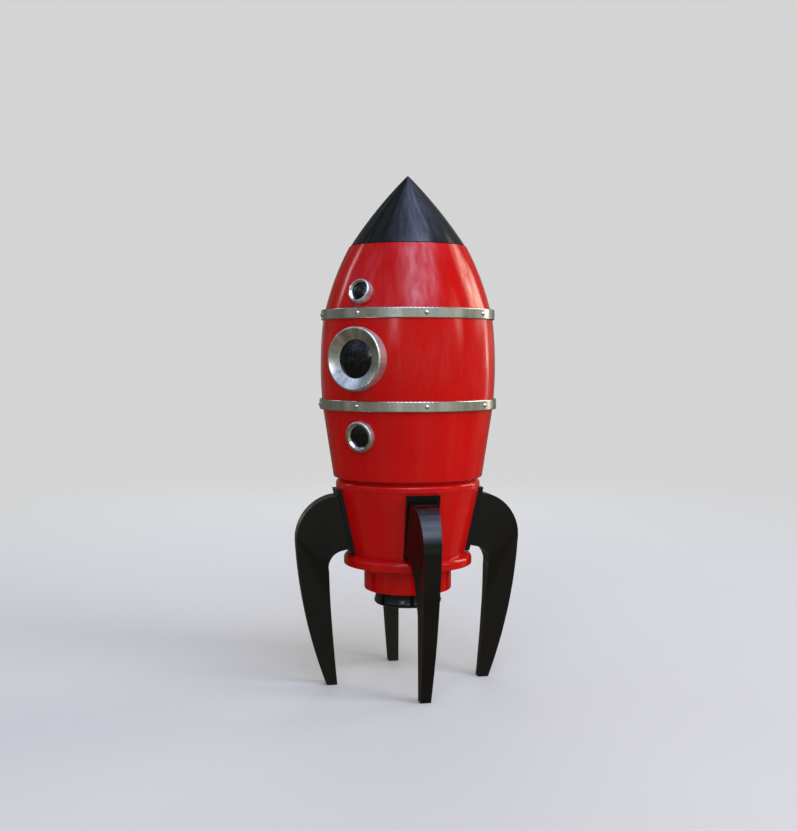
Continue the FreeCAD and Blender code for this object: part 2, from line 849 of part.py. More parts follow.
def make_click_spring():
    """A leaf on a post, bearing on the back of the click."""
    low, high = RATCHET_Z + 0.15, RATCHET_Z + 0.95
    ends = [V(*SPRING_POST, low), V(9.2, 5.1, low), V(6.5, 4.3, low)]
    line = Part.Wire([Part.Arc(*ends).toShape()])
    leaf = line.makeOffset2D(0.3, join=2, fill=True, openResult=True)
    strip = leaf.Faces[0].extrude(V(0, 0, high - low))
    post = cylinder(STUD_R, GREAT_Z, high, *SPRING_POST)
    return spun(strip.fuse(post).removeSplitter(), CLICK_AT)


def make_mainspring():
    """A spiral of half circles from the arbor out to the pillar on +X."""
    inner, growth, half_turns = 2.75, 0.98, 13
    edges = []
    reach = inner
    side = -1
    for _ in range(half_turns):
        wider = reach + growth
        start = V(side * reach, 0, SPRING_Z)
        middle = V(-side * growth / 2, side * (reach + wider) / 2, SPRING_Z)
        end = V(-side * wider, 0, SPRING_Z)
        edges.append(Part.Arc(start, middle, end).toShape())
        reach = wider
        side = -side
    hook = (V(reach, 0, SPRING_Z), V(reach + 2.3, 3.4, SPRING_Z), V(23.3, 2.0, SPRING_Z))
    edges.append(Part.Arc(*hook).toShape())
    strip = Part.Wire(edges).makeOffset2D(SPRING_T, join=2, fill=True, openResult=True)
    return strip.Faces[0].extrude(V(0, 0, SPRING_WIDTH))


def shaft(radius, pivot_low, pivot_high, low, high, shoulder_low, shoulder_high):
    outline = [
        (0, low),
        (pivot_low, low),
        (pivot_low, shoulder_low),
        (radius, shoulder_low),
        (radius, shoulder_high),
        (pivot_high, shoulder_high),
        (pivot_high, high),
        (0, high),
    ]
    return turned(outline)


def make_second_arbor():
    x, y = second_axis()
    low = LOWER_PLATE_Z + 0.1
    high = UPPER_PLATE_Z + PLATE_T - 0.1
    bar = shaft(SECOND_R, PIVOT_R, PIVOT_R, low, high, LOWER_PLATE_Z + PLATE_T + 0.15, UPPER_PLATE_Z - 0.15)
    gap = bearing((x, y), (0, 0)) + math.pi / PINION_TEETH
    pinion = gear(PINION_TEETH, FIRST_MODULE, gap, GREAT_Z - 1.2, GREAT_Z + 2.4)
    return moved(bar.fuse(pinion).removeSplitter(), x, y, 0)


def make_second_wheel():
    x, y = second_axis()
    towards = bearing((x, y), SPARK_AXIS)
    high = SECOND_Z + 1.0
    wheel = gear(SECOND_TEETH, SECOND_MODULE, towards, SECOND_Z, high)
    holes = [cylinder(SECOND_R, SECOND_Z, high)]
    holes += [cylinder(2.0, SECOND_Z, high, *polar(5.4, 90 * k + 45)) for k in range(4)]
    return moved(wheel.cut(holes), x, y, 0)


def make_spark_shaft():
    low = LOWER_PLATE_Z + 0.1
    high = BRACKET_TOP + PLATE_T + 0.2
    shoulder = LOWER_PLATE_Z + PLATE_T + 0.15
    bar = shaft(SPARK_R, PIVOT_R, SPARK_PIVOT_R, low, high, shoulder, BRACKET_TOP - 0.15)
    gap = bearing(SPARK_AXIS, second_axis()) + math.pi / PINION_TEETH
    pinion = gear(PINION_TEETH, SECOND_MODULE, gap, SECOND_Z - 1.0, SECOND_Z + 2.0)
    return moved(bar.fuse(pinion).removeSplitter(), *SPARK_AXIS, 0)


def make_spark_wheel():
    middle = FLINT_Z
    outline = [
        (SPARK_R, middle - 3.0),
        (WHEEL_HUB_R, middle - 3.0),
        (WHEEL_HUB_R, middle - 1.0),
        (WHEEL_R - 2.0, middle - 1.0),
        (WHEEL_R - 1.6, middle - 1.6),
        (WHEEL_R, middle - 1.6),
        (WHEEL_R, middle + 1.6),
        (WHEEL_R - 1.6, middle + 1.6),
        (WHEEL_R - 2.0, middle + 1.0),
        (WHEEL_HUB_R, middle + 1.0),
        (WHEEL_HUB_R, middle + 3.0),
        (SPARK_R, middle + 3.0),
    ]
    return moved(turned(outline), *SPARK_AXIS, 0)


def along_y(radius, start, end):
    """A cylinder along Y through the flint's axis."""
    return Part.makeCylinder(radius, end - start, V(0, start, FLINT_Z), V(0, 1, 0))


def make_spark_bracket():
    """A strip with a foot on the upper plate, an upright and a shelf with the top bearing."""
    half = 5.0
    foot_z = UPPER_PLATE_Z + PLATE_T
    upright = box((-half, BRACKET_Y, foot_z), (half, BRACKET_Y + PLATE_T, BRACKET_TOP + PLATE_T))
    foot = box((-half, BRACKET_Y, foot_z), (half, 6.0, foot_z + PLATE_T))
    shelf = box((-half, SPARK_AXIS[1] - 4, BRACKET_TOP), (half, BRACKET_Y, BRACKET_TOP + PLATE_T))
    bracket = upright.fuse([foot, shelf]).removeSplitter()
    holes = [cylinder(SPARK_PIVOT_R + RUNNING, BRACKET_TOP - 1, BRACKET_TOP + 3, *SPARK_AXIS)]
    screws = [cylinder(BRACKET_SCREW_R, foot_z - 1, foot_z + 3, *place) for place in BRACKET_SCREW_AT]
    holes += screws
    holes.append(along_y(TUBE_R, BRACKET_Y - 1, BRACKET_Y + 3))
    return bracket.cut(holes)


def make_bracket_screws():
    seat = UPPER_PLATE_Z + 2 * PLATE_T
    tip = UPPER_PLATE_Z - 0.6
    outline = [(0, tip), (BRACKET_SCREW_R, tip), (BRACKET_SCREW_R, seat), (1.5, seat)]
    outline += [(1.5, seat + 1.0), (0, seat + 1.0)]
    slot = box((-2, -0.25, seat + 0.6), (2, 0.25, seat + 1.1))
    screw = turned(outline).cut(slot)
    return group([moved(screw, *place, 0) for place in BRACKET_SCREW_AT])


def make_flint_tube():
    front, back = -13.8, 1.0
    return along_y(TUBE_R, front, back).cut(along_y(TUBE_BORE_R, front - 1, back - 1.0))


def make_flint():
    return along_y(TUBE_BORE_R - RUNNING, SPARK_AXIS[1] + WHEEL_R + 0.2, FLINT_BACK)


def make_flint_spring():
    coil_r, wire_r, pitch, length = 1.1, 0.18, 0.95, 8.2
    helix = Part.makeHelix(pitch, length, coil_r)
    section = Part.Wire([Part.Circle(V(coil_r, 0, 0), V(0, 1, 0), wire_r).toShape()])
    coil = Part.Wire(helix.Edges).makePipeShell([section], True, True)
    coil.rotate(ORIGIN, V(1, 0, 0), -90)
    return moved(coil, 0, FLINT_BACK + wire_r + 0.05, FLINT_Z)


# ---------------------------------------------------------------- the whole rocket

def save_shell():
    lower_pins = radial_pins(RIVET_SHANK_R + SEAM_GAP, 44.0, 56.0, LOWER_BAND_Z)
    upper_pins = radial_pins(RIVET_SHANK_R + SEAM_GAP, 42.0, 54.0, UPPER_BAND_Z)
    save("nose_cone", make_nose_cone())
    save("hull_upper", make_hull_upper().cut([upper_pins, porthole_hole("upper")]))
    middle_cuts = [upper_pins, lower_pins, porthole_hole("large")]
    save("hull_middle", make_hull_middle().cut(middle_cuts))
    save("hull_lower", make_hull_lower().cut([lower_pins, porthole_hole("lower")]))
    save("upper_band", make_band(UPPER_BAND_Z, UPPER_BAND_R).cut(upper_pins))
    save("lower_band", make_band(LOWER_BAND_Z, LOWER_BAND_R).cut(lower_pins))
    save("upper_band_rivets", make_rivets(UPPER_BAND_Z, UPPER_BAND_R))
    save("lower_band_rivets", make_rivets(LOWER_BAND_Z, LOWER_BAND_R))
    save("waist_ring", make_waist_ring())


def save_portholes():
    for name in PORTHOLES:
        save(f"{name}_porthole_bezel", make_bezel(name))
        save(f"{name}_porthole_lens", make_lens(name))
        save(f"{name}_porthole_nut", make_porthole_nut(name))


def save_base():
    skirt_holes = [spun(leg_screw_holes(LEG_SCREW_R + SEAM_GAP), a) for a in LEGS.values()]
    save("skirt", make_skirt().cut(skirt_holes + hem_holes()))
    save("exhaust_collar", make_exhaust_collar().cut(hem_holes() + collar_screw_holes()))
    save("exhaust_nozzle", make_exhaust_nozzle())
    save("nozzle_screw", make_nozzle_screw())
    save("arbor_bush", make_arbor_bush())
    save("hem_rivets", make_hem_rivets())


def save_legs():
    leg = make_leg().cut(leg_screw_holes(LEG_SCREW_R))
    pad = make_pad().cut(leg_screw_holes(LEG_SCREW_R + SEAM_GAP))
    for name, angle in LEGS.items():
        save(f"leg_{name}", spun(leg, angle))
        save(f"leg_pad_{name}", spun(pad, angle))
    save("leg_screws", make_leg_screws())


def save_clockwork():
    save("lower_plate", make_lower_plate())
    save("upper_plate", make_upper_plate())
    save("plate_pillars", make_pillars())
    save("base_screws", make_base_screws())
    save("winding_arbor", make_winding_arbor())
    save("great_wheel", make_great_wheel())
    save("ratchet_wheel", make_ratchet_wheel())
    save("click", make_click())
    save("click_stud", make_click_stud())
    save("click_spring", make_click_spring())
    save("mainspring", make_mainspring())
    save("second_arbor", make_second_arbor())
    save("second_wheel", make_second_wheel())


def save_sparker():
    save("spark_shaft", make_spark_shaft())
    save("spark_wheel", make_spark_wheel())
    save("spark_bracket", make_spark_bracket())
    save("bracket_screws", make_bracket_screws())
    save("flint_tube", make_flint_tube())
    save("flint", make_flint())
    save("flint_spring", make_flint_spring())


os.makedirs("parts", exist_ok=True)
save_shell()
save_portholes()
save_base()
save_legs()
save_clockwork()
save_sparker()
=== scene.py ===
import json
import math

import bmesh
import bpy
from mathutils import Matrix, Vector


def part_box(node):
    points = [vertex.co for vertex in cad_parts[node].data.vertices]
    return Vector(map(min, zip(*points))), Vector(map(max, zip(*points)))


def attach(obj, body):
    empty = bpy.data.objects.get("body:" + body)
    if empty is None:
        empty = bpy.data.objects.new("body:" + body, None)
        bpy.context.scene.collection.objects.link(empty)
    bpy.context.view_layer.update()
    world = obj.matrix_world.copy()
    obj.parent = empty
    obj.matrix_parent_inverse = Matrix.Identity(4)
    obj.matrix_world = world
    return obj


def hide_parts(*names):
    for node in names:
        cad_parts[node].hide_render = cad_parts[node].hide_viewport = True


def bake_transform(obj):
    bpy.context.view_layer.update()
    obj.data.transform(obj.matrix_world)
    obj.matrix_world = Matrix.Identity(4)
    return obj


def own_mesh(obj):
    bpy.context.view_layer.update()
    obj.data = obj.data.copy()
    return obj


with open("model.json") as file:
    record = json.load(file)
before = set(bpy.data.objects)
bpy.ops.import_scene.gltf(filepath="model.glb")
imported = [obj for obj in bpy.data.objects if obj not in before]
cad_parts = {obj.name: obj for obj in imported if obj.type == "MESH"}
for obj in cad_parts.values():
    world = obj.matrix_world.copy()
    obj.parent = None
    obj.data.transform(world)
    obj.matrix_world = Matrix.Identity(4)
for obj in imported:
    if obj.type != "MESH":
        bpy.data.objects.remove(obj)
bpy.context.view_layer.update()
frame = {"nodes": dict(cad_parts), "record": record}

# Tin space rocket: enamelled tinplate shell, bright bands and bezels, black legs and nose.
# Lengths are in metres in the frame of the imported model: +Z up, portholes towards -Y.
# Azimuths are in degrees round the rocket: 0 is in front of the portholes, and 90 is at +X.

NODES = frame["nodes"]
MM = 0.001

# ---- camera: level distance from the axis, step to its own side, height, and dip ----
CAMERA_LENS = 50.0
SENSOR = 36.0
CAMERA_AZIMUTH = math.radians(33.6)
CAMERA_DISTANCE = 0.6859
CAMERA_SIDE = -0.0055
CAMERA_HEIGHT = 0.1949
CAMERA_PITCH = math.radians(2.99)

# ---- rounded edges of the legs and their pads ----
LEG_EDGE = 0.45 * MM
PAD_EDGE = 0.40 * MM
EDGE_SEGMENTS = 3
ROUND_PROFILE = 0.5
WELD = 0.002 * MM                   # points closer than this become one
COPLANAR = math.radians(0.3)        # faces that meet at less than this become one
SHARP = math.radians(28)            # edges sharper than this are rounded
CREASE = math.radians(40)           # edges still sharper than this are shaded as creases

# ---- portholes: how far each one's axis points up from level, in degrees ----
LEAN = {"upper": 16.9, "large": 1.0, "lower": -8.7}
FLANK_INSET = 0.2 * MM              # the flank's finish is full from here out to the edge
FLANK_EASE = 0.5 * MM               # width over which the bright face turns into the flank

# ---- noise scales of the finishes, in cells per metre ----
DRIFT_CELLS = 30.0
HANDLING_CELLS = 55.0
PEEL_CELLS = 700.0
NIB_CELLS = 4200.0
SCUFF_CELLS = 260.0
RING_CELLS = 2400.0
SMEAR_CELLS = 420.0
HAZE_CELLS = 75.0
GRIME_CELLS = 140.0
GRAIN_CELLS = 2400.0
SMUDGE_CELLS = 160.0
GRIT_CELLS = 3000.0

# ---- turned metal: how it changes from place to place round its axis ----
RING_DRIFT = 0.002                  # metres of noise for each radian round the axis,
SMEAR_DRIFT = 0.006                 # so small numbers draw out into rings
REFLECTION_SECTOR_CELLS = 2.6                  # noise scale of the painted reflection sectors round a circle of radius 1
REFLECTION_SECTOR_TWIST = 4.0                  # how fast the painted reflection sectors change with the radius

# ---- depths of the finishes' bumps ----
PEEL_DEPTH = 0.05 * MM
NIB_DEPTH = 0.02 * MM
TOOLING_DEPTH = 0.03 * MM
GRIT_DEPTH = 0.2 * MM

# ---- colours ----
RED = (0.46, 0.0026, 0.0020, 1)
BLACK = (0.0040, 0.0040, 0.0040, 1)
LEG_BLACK = (0.0022, 0.0017, 0.0010, 1)
BRIGHT = (0.88, 0.89, 0.87, 1)
# painted reflection: warm and cool tints stand in for the surroundings mirrored in turned metal
WARM_REFLECTION_TINT = (0.56, 0.57, 0.42, 1)
COOL_REFLECTION_TINT = (0.66, 0.70, 0.74, 1)
GLASS = (0.0012, 0.0012, 0.0014, 1)
SMUDGED_GLASS = (0.004, 0.004, 0.0045, 1)
PLATING = (0.55, 0.55, 0.56, 1)
BRASS = (0.72, 0.50, 0.19, 1)
TOOL_STEEL = (0.38, 0.38, 0.40, 1)
BLUED_STEEL = (0.10, 0.12, 0.20, 1)
ABRASIVE = (0.09, 0.085, 0.08, 1)
FLINT = (0.12, 0.12, 0.125, 1)

# ---- stage ----
BACKDROP = (0.66, 0.66, 0.66, 1)
FLOOR_DARK = (0.60, 0.60, 0.60, 1)
FLOOR_LIGHT = (0.63, 0.63, 0.63, 1)
FLOOR_SIZE = 16.0
FLOOR_CELLS = 3.0
FADE_START = 0.25                   # distances from the axis where the floor
FADE_END = 1.30                     # starts and ends its fade into the backdrop
LAMP_AIM = Vector((0, 0, 0.17))
LAMP_TALL = 0.6

# Lamps: name, azimuth, distance, height, width, power in watts, colour.
LAMPS = [
    ("key", 95, 1.2, 0.6, 0.6, 7.6, (1.0, 0.98, 0.95)),
    ("front", 15, 1.3, 0.8, 0.6, 2.0, (1.0, 1.0, 1.0)),
    ("back", 215, 1.2, 0.7, 0.8, 4.5, (1.0, 1.0, 1.0)),
]

# What the gloss sees between the panels, from straight down (0) to straight up (1).
SURROUNDINGS = [
    (0.00, (0.22, 0.19, 0.15)),
    (0.42, (0.20, 0.18, 0.14)),
    (0.51, (0.42, 0.44, 0.38)),
    (0.64, (0.22, 0.25, 0.23)),
    (1.00, (0.20, 0.24, 0.32)),
]
SLOW_MOTTLE = 3.0                   # noise scales over the sphere of directions
FINE_MOTTLE = 11.0
LIT_SIDE = 75                       # azimuth of the brighter side of the studio
DARK_SIDE = 0.35                    # brightness of the side away from it
FILL = (0.42, 0.42, 0.42, 1)        # even light for the diffuse colours

# Soft panels that show only in the gloss: azimuth, elevation, half width and half height in
# degrees, softness of the edge as a share of the half size, and radiance.
PANELS = [
    (56, 46, 22, 20, 0.5, (2.9, 3.4, 4.6)),
    (90, 78, 28, 20, 0.7, (1.1, 1.3, 2.0)),
    (146, 24, 9, 12, 0.7, (9.0, 8.1, 6.6)),
    (162, 9, 3.5, 12, 0.7, (6.0, 5.2, 4.2)),
    (105, 18, 5, 8, 0.8, (4.4, 3.8, 3.2)),
    (-84, 27, 2.5, 10, 0.7, (3.4, 3.2, 3.3)),
    (15, 17, 6, 7, 0.9, (2.0, 2.0, 2.2)),
    (-20, 34, 34, 15, 0.6, (0.35, 0.42, 0.62)),
]

SLOT_OF = {part["node"]: part["material_slot"] for part in frame["record"]["subparts"]}
BODY_OF = {
    node: body
    for body, nodes in frame["record"]["behaviour"]["bodies"].items()
    for node in nodes
}


# ---------------------------------------------------------------- node helpers

class Nodes:
    """Short calls that add and link nodes in one tree."""

    def __init__(self, tree):
        self.tree = tree
        self.coords = tree.nodes.new("ShaderNodeTexCoord")

    def link(self, source, target):
        self.tree.links.new(source, target)

    def node(self, kind, **settings):
        made = self.tree.nodes.new(kind)
        for name, value in settings.items():
            setattr(made, name, value)
        return made

    def put(self, socket, value):
        """Links a socket to another, or sets it to a plain value."""
        if isinstance(value, bpy.types.NodeSocket):
            self.link(value, socket)
        else:
            socket.default_value = value

    def math(self, operation, a, b=0.0):
        made = self.node("ShaderNodeMath", operation=operation)
        self.put(made.inputs[0], a)
        self.put(made.inputs[1], b)
        return made.outputs[0]

    def split(self, source):
        made = self.node("ShaderNodeSeparateXYZ")
        self.link(source, made.inputs[0])
        return made.outputs

    def vector(self, x, y, z):
        made = self.node("ShaderNodeCombineXYZ")
        for socket, value in zip(made.inputs, (x, y, z)):
            self.put(socket, value)
        return made.outputs[0]

    def scaled(self, source, factor):
        made = self.node("ShaderNodeVectorMath", operation="SCALE")
        self.put(made.inputs[0], source)
        self.put(made.inputs["Scale"], factor)
        return made.outputs[0]

    def added(self, first, second):
        made = self.node("ShaderNodeVectorMath", operation="ADD")
        self.put(made.inputs[0], first)
        self.put(made.inputs[1], second)
        return made.outputs[0]

    def turned(self, source, axis, angle):
        made = self.node("ShaderNodeVectorRotate", rotation_type=axis + "_AXIS")
        self.link(source, made.inputs["Vector"])
        made.inputs["Angle"].default_value = angle
        return made.outputs[0]

    def mapped(self, source, location=(0, 0, 0), scale=(1, 1, 1)):
        made = self.node("ShaderNodeMapping")
        self.link(source, made.inputs["Vector"])
        made.inputs["Location"].default_value = location
        made.inputs["Scale"].default_value = scale
        return made.outputs[0]

    def noise(self, source, scale, detail=3.0, roughness=0.5):
        made = self.node("ShaderNodeTexNoise")
        self.link(source, made.inputs["Vector"])
        made.inputs["Scale"].default_value = scale
        made.inputs["Detail"].default_value = detail
        made.inputs["Roughness"].default_value = roughness
        return made.outputs["Fac"]

    def band(self, source, low, high, out_low=0.0, out_high=1.0, smooth=False):
        """Maps low..high to out_low..out_high, and holds the ends."""
        made = self.node("ShaderNodeMapRange")
        if smooth:
            made.interpolation_type = "SMOOTHSTEP"
        self.link(source, made.inputs["Value"])
        made.inputs["From Min"].default_value = low
        made.inputs["From Max"].default_value = high
        made.inputs["To Min"].default_value = out_low
        made.inputs["To Max"].default_value = out_high
        return made.outputs[0]

    def mix(self, factor, first, second):
        made = self.node("ShaderNodeMix", data_type="RGBA")
        colours = [socket for socket in made.inputs if socket.type == "RGBA"]
        self.put(made.inputs["Factor"], factor)
        self.put(colours[0], first)
        self.put(colours[1], second)
        return next(socket for socket in made.outputs if socket.type == "RGBA")

    def bump(self, height, strength, distance, normal=None):
        made = self.node("ShaderNodeBump")
        self.link(height, made.inputs["Height"])
        made.inputs["Strength"].default_value = strength
        made.inputs["Distance"].default_value = distance
        if normal is not None:
            self.link(normal, made.inputs["Normal"])
        return made.outputs[0]

    def from_axis(self, x, y):
        """Distance of a point from the Z axis."""
        squares = self.math("ADD", self.math("MULTIPLY", x, x), self.math("MULTIPLY", y, y))
        return self.math("SQRT", squares)

    def polar(self, source):
        """(angle, radius, height) about the source's Z axis."""
        x, y, z = self.split(source)
        return self.math("ARCTAN2", y, x), self.from_axis(x, y), z


class Surface(Nodes):
    """A node material with a Principled surface."""

    def __init__(self, name):
        self.material = bpy.data.materials.new(name)
        self.material.use_nodes = True
        super().__init__(self.material.node_tree)
        self.shader = self.tree.nodes["Principled BSDF"]
        self.place = self.coords.outputs["Object"]

    def set(self, **values):
        for name, value in values.items():
            self.shader.inputs[name.replace("_", " ")].default_value = value

    def feed(self, socket, source):
        self.link(source, self.shader.inputs[socket])


def dimmed(colour, factor):
    return tuple(c * factor for c in colour[:3]) + (1.0,)


# ---------------------------------------------------------------- materials

def enamel_film(name, colour, coat, gloss):
    """Stoved enamel: slow colour drift, faint orange peel, and fine dust nibs in the gloss."""
    s = Surface(name)
    drift = s.noise(s.place, DRIFT_CELLS, detail=2.0)
    s.feed("Base Color", s.mix(s.band(drift, 0.35, 0.65), colour, dimmed(colour, 0.9)))
    peel = s.noise(s.place, PEEL_CELLS, detail=2.0)
    nibs = s.band(s.noise(s.place, NIB_CELLS, detail=1.0), 0.76, 0.84)
    normal = s.bump(nibs, strength=0.10, distance=NIB_DEPTH)
    normal = s.bump(peel, strength=0.06, distance=PEEL_DEPTH, normal=normal)
    s.feed("Normal", normal)
    s.feed("Coat Normal", s.bump(peel, strength=0.04, distance=PEEL_DEPTH))
    s.set(Specular_IOR_Level=gloss, Coat_Weight=coat, Coat_Roughness=0.05)
    return s


def enamel(name, colour, roughness, coat=0.35, gloss=0.30):
    """Enamel that is a little duller in the patches where it is handled."""
    s = enamel_film(name, colour, coat, gloss)
    handling = s.noise(s.place, HANDLING_CELLS, detail=5.0, roughness=0.65)
    s.feed("Roughness", s.band(handling, 0.35, 0.75, roughness, roughness + 0.05))
    return s.material


def leg_enamel(name, colour):
    """Black enamel, glossy on the outer and inner edges and brushed matt on the flat sides."""
    s = enamel_film(name, colour, coat=0.0, gloss=0.40)
    x, y = s.split(s.place)[:2]
    normal_x, normal_y = s.split(s.coords.outputs["Normal"])[:2]
    along = s.math("SUBTRACT", s.math("MULTIPLY", x, normal_y), s.math("MULTIPLY", y, normal_x))
    sideways = s.math("ABSOLUTE", s.math("DIVIDE", along, s.from_axis(x, y)))
    matt = s.math("MULTIPLY", s.band(sideways, 0.75, 0.97, smooth=True), 0.15)
    drawn_out = s.mapped(s.place, scale=(1, 1, 0.3))
    scuffed = s.noise(drawn_out, SCUFF_CELLS, detail=4.0, roughness=0.6)
    s.feed("Roughness", s.math("ADD", matt, s.band(scuffed, 0.35, 0.7, 0.15, 0.22)))
    return s.material


def turned_metal(name, colour, roughness, centre=(0, 0, 0), lean=None, flank_r=None):
    """Turned bright metal: fine rings about its own axis, slow sectors of painted reflection tint
    round it, and haze.

    Beyond flank_r from its axis, the metal is brushed and less bright.
    """
    s = Surface(name)
    local = s.mapped(s.place, location=tuple(-c for c in centre))
    if lean is not None:
        local = s.turned(local, "X", math.radians(lean - 90))
    angle, radius, height = s.polar(local)
    ring_place = s.vector(s.math("MULTIPLY", angle, RING_DRIFT), radius, height)
    rings = s.noise(ring_place, RING_CELLS, detail=3.0, roughness=0.6)
    smear_place = s.vector(s.math("MULTIPLY", angle, SMEAR_DRIFT), radius, height)
    smear = s.noise(smear_place, SMEAR_CELLS, detail=3.0)
    haze = s.noise(s.place, HAZE_CELLS, detail=4.0)
    # painted reflection: slow sectors of warm and cool tint stand in for the surroundings the
    # metal mirrors
    bearing = s.math("COSINE", angle), s.math("SINE", angle)
    turn = s.vector(*bearing, s.math("MULTIPLY", radius, REFLECTION_SECTOR_TWIST))
    reflection_sector = s.band(s.noise(turn, REFLECTION_SECTOR_CELLS, detail=4.0, roughness=0.65), 0.40, 0.62)
    toned = s.mix(s.band(haze, 0.35, 0.7), colour, dimmed(colour, 0.88))
    s.feed("Base Color", s.mix(reflection_sector, toned, s.mix(haze, WARM_REFLECTION_TINT, COOL_REFLECTION_TINT)))
    hazed = s.band(haze, 0.3, 0.7, roughness - 0.03, roughness + 0.05)
    if flank_r is not None:
        hazed = s.math("ADD", hazed, s.band(radius, flank_r - FLANK_EASE, flank_r, 0.0, 0.30))
    s.feed("Roughness", s.math("ADD", hazed, s.band(smear, 0.3, 0.7, -0.04, 0.04)))
    s.feed("Normal", s.bump(rings, strength=0.20, distance=TOOLING_DEPTH))
    s.set(Metallic=1.0)
    return s.material


def plain_metal(name, colour, roughness):
    """Stamped or turned inner metal with a light grain and a little grime."""
    s = Surface(name)
    grime = s.noise(s.place, GRIME_CELLS, detail=4.0)
    s.feed("Base Color", s.mix(s.band(grime, 0.4, 0.75), colour, dimmed(colour, 0.7)))
    s.feed("Roughness", s.band(grime, 0.3, 0.7, roughness - 0.05, roughness + 0.1))
    brushed = s.noise(s.mapped(s.place, scale=(1, 1, 6)), GRAIN_CELLS, detail=2.0)
    s.feed("Normal", s.bump(brushed, strength=0.15, distance=TOOLING_DEPTH))
    s.set(Metallic=1.0)
    return s.material


def dark_glass(name):
    """Smoked glass, near black, with faint smudges in its gloss."""
    s = Surface(name)
    smudge = s.noise(s.place, SMUDGE_CELLS, detail=5.0, roughness=0.6)
    s.feed("Base Color", s.mix(smudge, GLASS, SMUDGED_GLASS))
    s.feed("Roughness", s.band(smudge, 0.35, 0.75, 0.008, 0.03))
    s.set(Specular_IOR_Level=0.42)
    return s.material


def grit(name, colour):
    """A coarse, dull stone."""
    s = Surface(name)
    grains = s.noise(s.place, GRIT_CELLS, detail=2.0)
    s.feed("Base Color", s.mix(grains, colour, dimmed(colour, 2.2)))
    s.feed("Normal", s.bump(grains, strength=0.8, distance=GRIT_DEPTH))
    s.set(Roughness=0.85)
    return s.material


def dress(piece, material):
    piece.data.materials.clear()
    piece.data.materials.append(material)


def dress_bezel(port):
    """The bezel's turning rings run round its own leaning axis."""
    low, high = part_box(port + "_porthole_bezel")
    metal = turned_metal(
        port + "_bezel_aluminium", BRIGHT, 0.20, centre=(low + high) / 2, lean=LEAN[port],
        flank_r=(high.x - low.x) / 2 - FLANK_INSET,
    )
    dress(NODES[port + "_porthole_bezel"], metal)


FINISH = {
    "black_enamel": enamel("black_enamel", BLACK, 0.14),
    "black_satin_enamel": enamel("black_satin_enamel", BLACK, 0.26, coat=0.0),
    "red_enamel": enamel("red_enamel", RED, 0.13, coat=0.2, gloss=0.22),
    "polished_aluminium": turned_metal("polished_aluminium", BRIGHT, 0.20),
    "rivet_metal": turned_metal("rivet_metal", BRIGHT, 0.14),
    "dark_glass": dark_glass("dark_glass"),
    "plated_steel": plain_metal("plated_steel", PLATING, 0.25),
    "brass": plain_metal("brass", BRASS, 0.24),
    "tool_steel": plain_metal("tool_steel", TOOL_STEEL, 0.22),
    "spring_steel": plain_metal("spring_steel", BLUED_STEEL, 0.28),
    "abrasive": grit("abrasive", ABRASIVE),
    "flint": grit("flint", FLINT),
}
LEG_ENAMEL = leg_enamel("leg_enamel", LEG_BLACK)

for node_name, node_object in NODES.items():
    dress(node_object, FINISH[SLOT_OF[node_name]])
for port_name in LEAN:
    dress_bezel(port_name)


# ---------------------------------------------------------------- pieces shown for CAD nodes

def stand_in(node, suffix, data, material):
    """A new piece shown in place of a CAD node. It still has to be put on a body."""
    piece = bpy.data.objects.new(node + suffix, data)
    bpy.context.scene.collection.objects.link(piece)
    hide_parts(node)
    dress(piece, material)
    return piece


def rounded_mesh(node, width):
    """The node's mesh, welded, with its sharp edges rounded."""
    mesh = bmesh.new()
    mesh.from_mesh(NODES[node].data)
    bmesh.ops.remove_doubles(mesh, verts=mesh.verts, dist=WELD)
    bmesh.ops.dissolve_limit(mesh, angle_limit=COPLANAR, verts=mesh.verts, edges=mesh.edges)
    sharp = [e for e in mesh.edges if len(e.link_faces) == 2 and e.calc_face_angle() > SHARP]
    bmesh.ops.bevel(
        mesh, geom=sharp, offset=width, offset_type="OFFSET", segments=EDGE_SEGMENTS,
        profile=ROUND_PROFILE, affect="EDGES", clamp_overlap=True,
    )
    bmesh.ops.recalc_face_normals(mesh, faces=mesh.faces)
    for face in mesh.faces:
        face.smooth = True
    data = bpy.data.meshes.new(node + "_eased")
    mesh.to_mesh(data)
    mesh.free()
    data.set_sharp_from_angle(angle=CREASE)
    return data


def ease(node, width, material):
    """Shows a CAD node with its sharp edges rounded."""
    piece = stand_in(node, "_eased", rounded_mesh(node, width), material)
    weighted = piece.modifiers.new("weighted", "WEIGHTED_NORMAL")
    weighted.keep_sharp = True
    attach(piece, BODY_OF[node])


def flexible(node):
    """A copy of a spring's mesh, shown in place of its CAD node."""
    return stand_in(node, "_flexed", NODES[node].data.copy(), FINISH[SLOT_OF[node]])


def flex_flint_spring():
    """Shows the flint spring as a copy with its own mesh, put on the spring's body."""
    piece = flexible("flint_spring")
    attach(piece, BODY_OF["flint_spring"])
    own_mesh(piece)


def flex_click_spring():
    """Shows the click spring as a copy, with its placement baked into its mesh."""
    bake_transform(flexible("click_spring"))


for side in ("front_left", "front_right", "rear_left", "rear_right"):
    ease("leg_" + side, LEG_EDGE, LEG_ENAMEL)
    ease("leg_pad_" + side, PAD_EDGE, FINISH["black_satin_enamel"])
flex_flint_spring()
flex_click_spring()


# ---------------------------------------------------------------- stage

